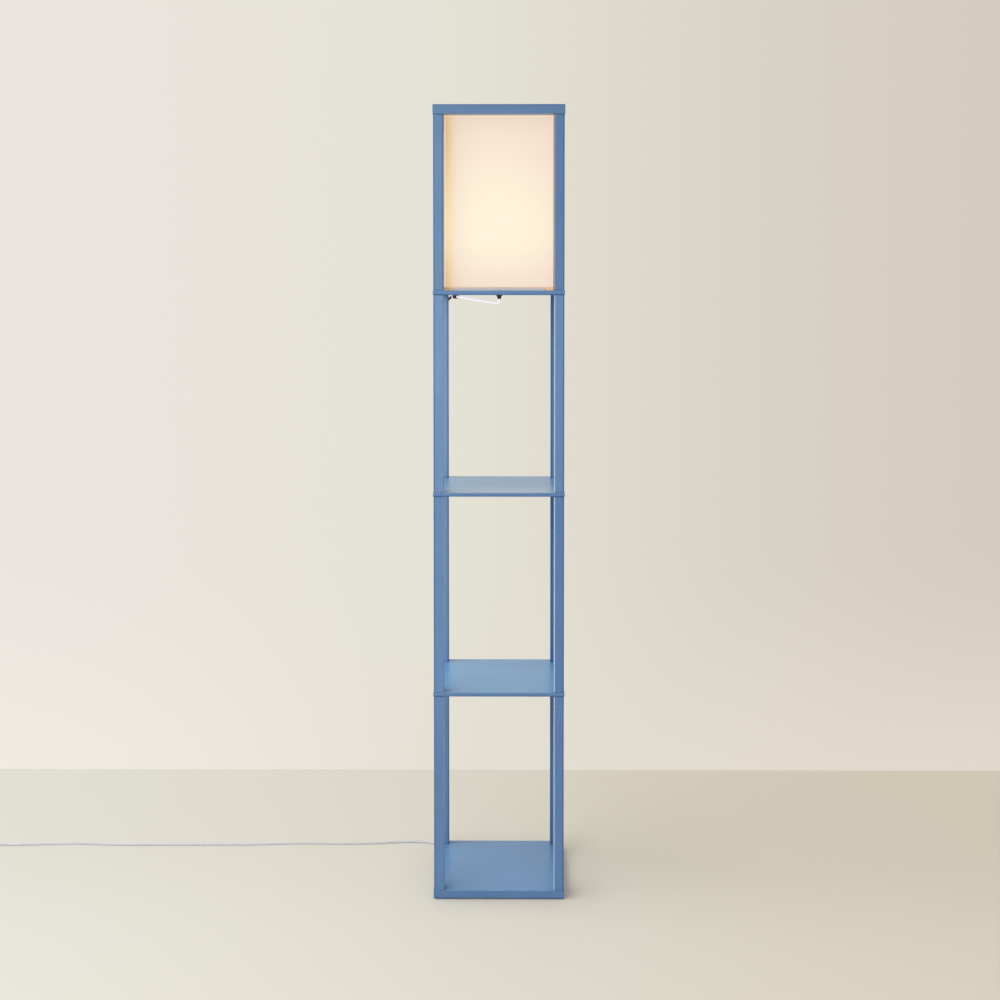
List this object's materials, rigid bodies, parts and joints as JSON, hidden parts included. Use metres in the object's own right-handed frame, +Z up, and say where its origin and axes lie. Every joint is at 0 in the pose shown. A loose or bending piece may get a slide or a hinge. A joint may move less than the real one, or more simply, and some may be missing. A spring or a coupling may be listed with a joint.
{
  "type": "floor lamp",
  "caption": "Tall square shelf floor lamp: posts in tiers with open shelves, and a box cloth shade round one bulb inside the top tier.",
  "frame": {"origin": "middle of the lamp's footprint, on the floor, without its cord", "axes": "+Z up, +Y to the back, +X to the right as seen from the front"},
  "size_m": [1.3965, 0.2992, 1.6],
  "materials": {
    "blue_paint": "satin blue paint on fibreboard and wood",
    "foot_pad": "dark foam rubber",
    "zinc_steel": "zinc plated",
    "bare_wood": "plain beech",
    "cream_plastic": "moulded, lets a little light through",
    "shade_cloth": "cream linen on a stiff backing",
    "white_wire": "white enamel on steel wire",
    "dark_plastic": "moulded, matt",
    "holder_plastic": "moulded heat-proof plastic, white, half matt",
    "porcelain": "glazed",
    "brass": "bright rolled brass",
    "wire_insulation": "soft plastic",
    "frosted_glass": "frosted inside, lit warm",
    "bulb_plastic": "white heat-proof plastic",
    "nickel_cap": "nickel plated",
    "black_glass": "gloss",
    "cord_plastic": "white flexible plastic, low sheen",
    "tie_plastic": "soft white strap",
    "switch_plastic": "white moulded, low sheen"
  },
  "bodies": {
    "tower": {"base_board": "blue_paint", "lower_shelf": "blue_paint", "upper_shelf": "blue_paint", "lamp_shelf": "blue_paint", "lower_bay_post_front_left": "blue_paint", "lower_bay_post_front_right": "blue_paint", "lower_bay_post_back_left": "blue_paint", "lower_bay_post_back_right": "blue_paint", "middle_bay_post_front_left": "blue_paint", "middle_bay_post_front_right": "blue_paint", "middle_bay_post_back_left": "blue_paint", "middle_bay_post_back_right": "blue_paint", "upper_bay_post_front_left": "blue_paint", "upper_bay_post_front_right": "blue_paint", "upper_bay_post_back_left": "blue_paint", "upper_bay_post_back_right": "blue_paint", "lamp_bay_post_front_left": "blue_paint", "lamp_bay_post_front_right": "blue_paint", "lamp_bay_post_back_left": "blue_paint", "lamp_bay_post_back_right": "blue_paint", "top_rail_front": "blue_paint", "top_rail_back": "blue_paint", "top_rail_left": "blue_paint", "top_rail_right": "blue_paint", "foot_pads": "foot_pad", "joining_studs": "zinc_steel", "base_screws": "zinc_steel", "nipple_nuts": "zinc_steel", "nipple_washer": "zinc_steel", "threaded_nipple": "zinc_steel", "top_dowels": "bare_wood", "strain_relief": "dark_plastic", "shelf_cord_clip": "dark_plastic", "post_cord_clips": "dark_plastic", "holder_cap": "holder_plastic", "holder_shell": "holder_plastic", "holder_insert": "porcelain", "screw_shell": "brass", "centre_contact": "brass", "plug_blades": "brass", "lead_wires": "wire_insulation", "supply_cord": "cord_plastic", "cord_coil": "cord_plastic", "plug_body": "cord_plastic", "coil_tie": "tie_plastic", "switch_base": "switch_plastic", "switch_cover": "switch_plastic"},
    "shade": {"shade_rest_blocks": "cream_plastic", "shade_panel_front": "shade_cloth", "shade_panel_right": "shade_cloth", "shade_panel_back": "shade_cloth", "shade_panel_left": "shade_cloth", "shade_bottom_ring": "white_wire", "shade_top_ring": "white_wire"},
    "bulb": {"bulb_envelope": "frosted_glass", "bulb_collar": "bulb_plastic", "bulb_screw_cap": "nickel_cap", "bulb_insulator": "black_glass", "bulb_tip_contact": "nickel_cap"},
    "rocker": {"switch_rocker": "switch_plastic"}
  },
  "joints": [
    {"name": "shade_lift", "type": "slide", "parent": "tower", "child": "shade", "axis": [0, 0, 1], "range_m": [0, 0.37]},
    {"name": "bulb_unscrew", "type": "hinge", "parent": "tower", "child": "bulb", "pos_m": [0, 0, 1.3], "axis": [0, 0, 1], "range_deg": [0, 1080]},
    {"name": "switch_rock", "type": "hinge", "parent": "tower", "child": "rocker", "pos_m": [-1.173, 0.1405, 0.0103], "axis": [0, -1, 0], "range_deg": [0, 16]}
  ]
}
